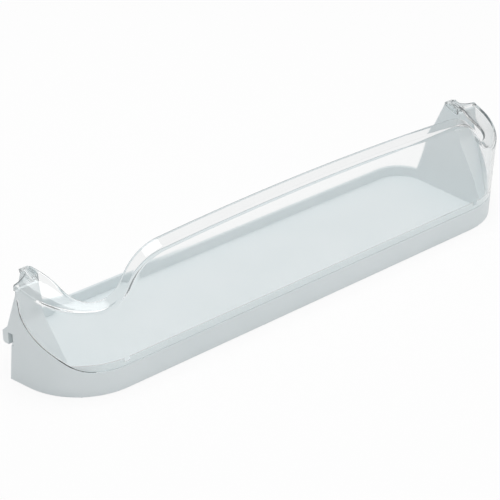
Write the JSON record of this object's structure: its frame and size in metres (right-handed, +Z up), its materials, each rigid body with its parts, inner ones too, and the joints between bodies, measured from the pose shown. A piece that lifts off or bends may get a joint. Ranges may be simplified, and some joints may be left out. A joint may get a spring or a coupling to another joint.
{
  "type": "fridge door shelf",
  "caption": "Long bottle shelf for a fridge door: a white moulded tray with end hooks and a clear arched front guard with flared end flanges.",
  "frame": {"origin": "middle of the box on the underside: middle of the length and of the depth, where it stands", "axes": "+X along the shelf, +Y from the front towards the door, +Z up"},
  "size_m": [0.482, 0.1254, 0.1156],
  "materials": {
    "white_polystyrene": "satin moulded",
    "clear_polystyrene": "clear polished moulding"
  },
  "bodies": {
    "root": {"tray": "white_polystyrene", "front_guard": "clear_polystyrene"}
  },
  "joints": []
}
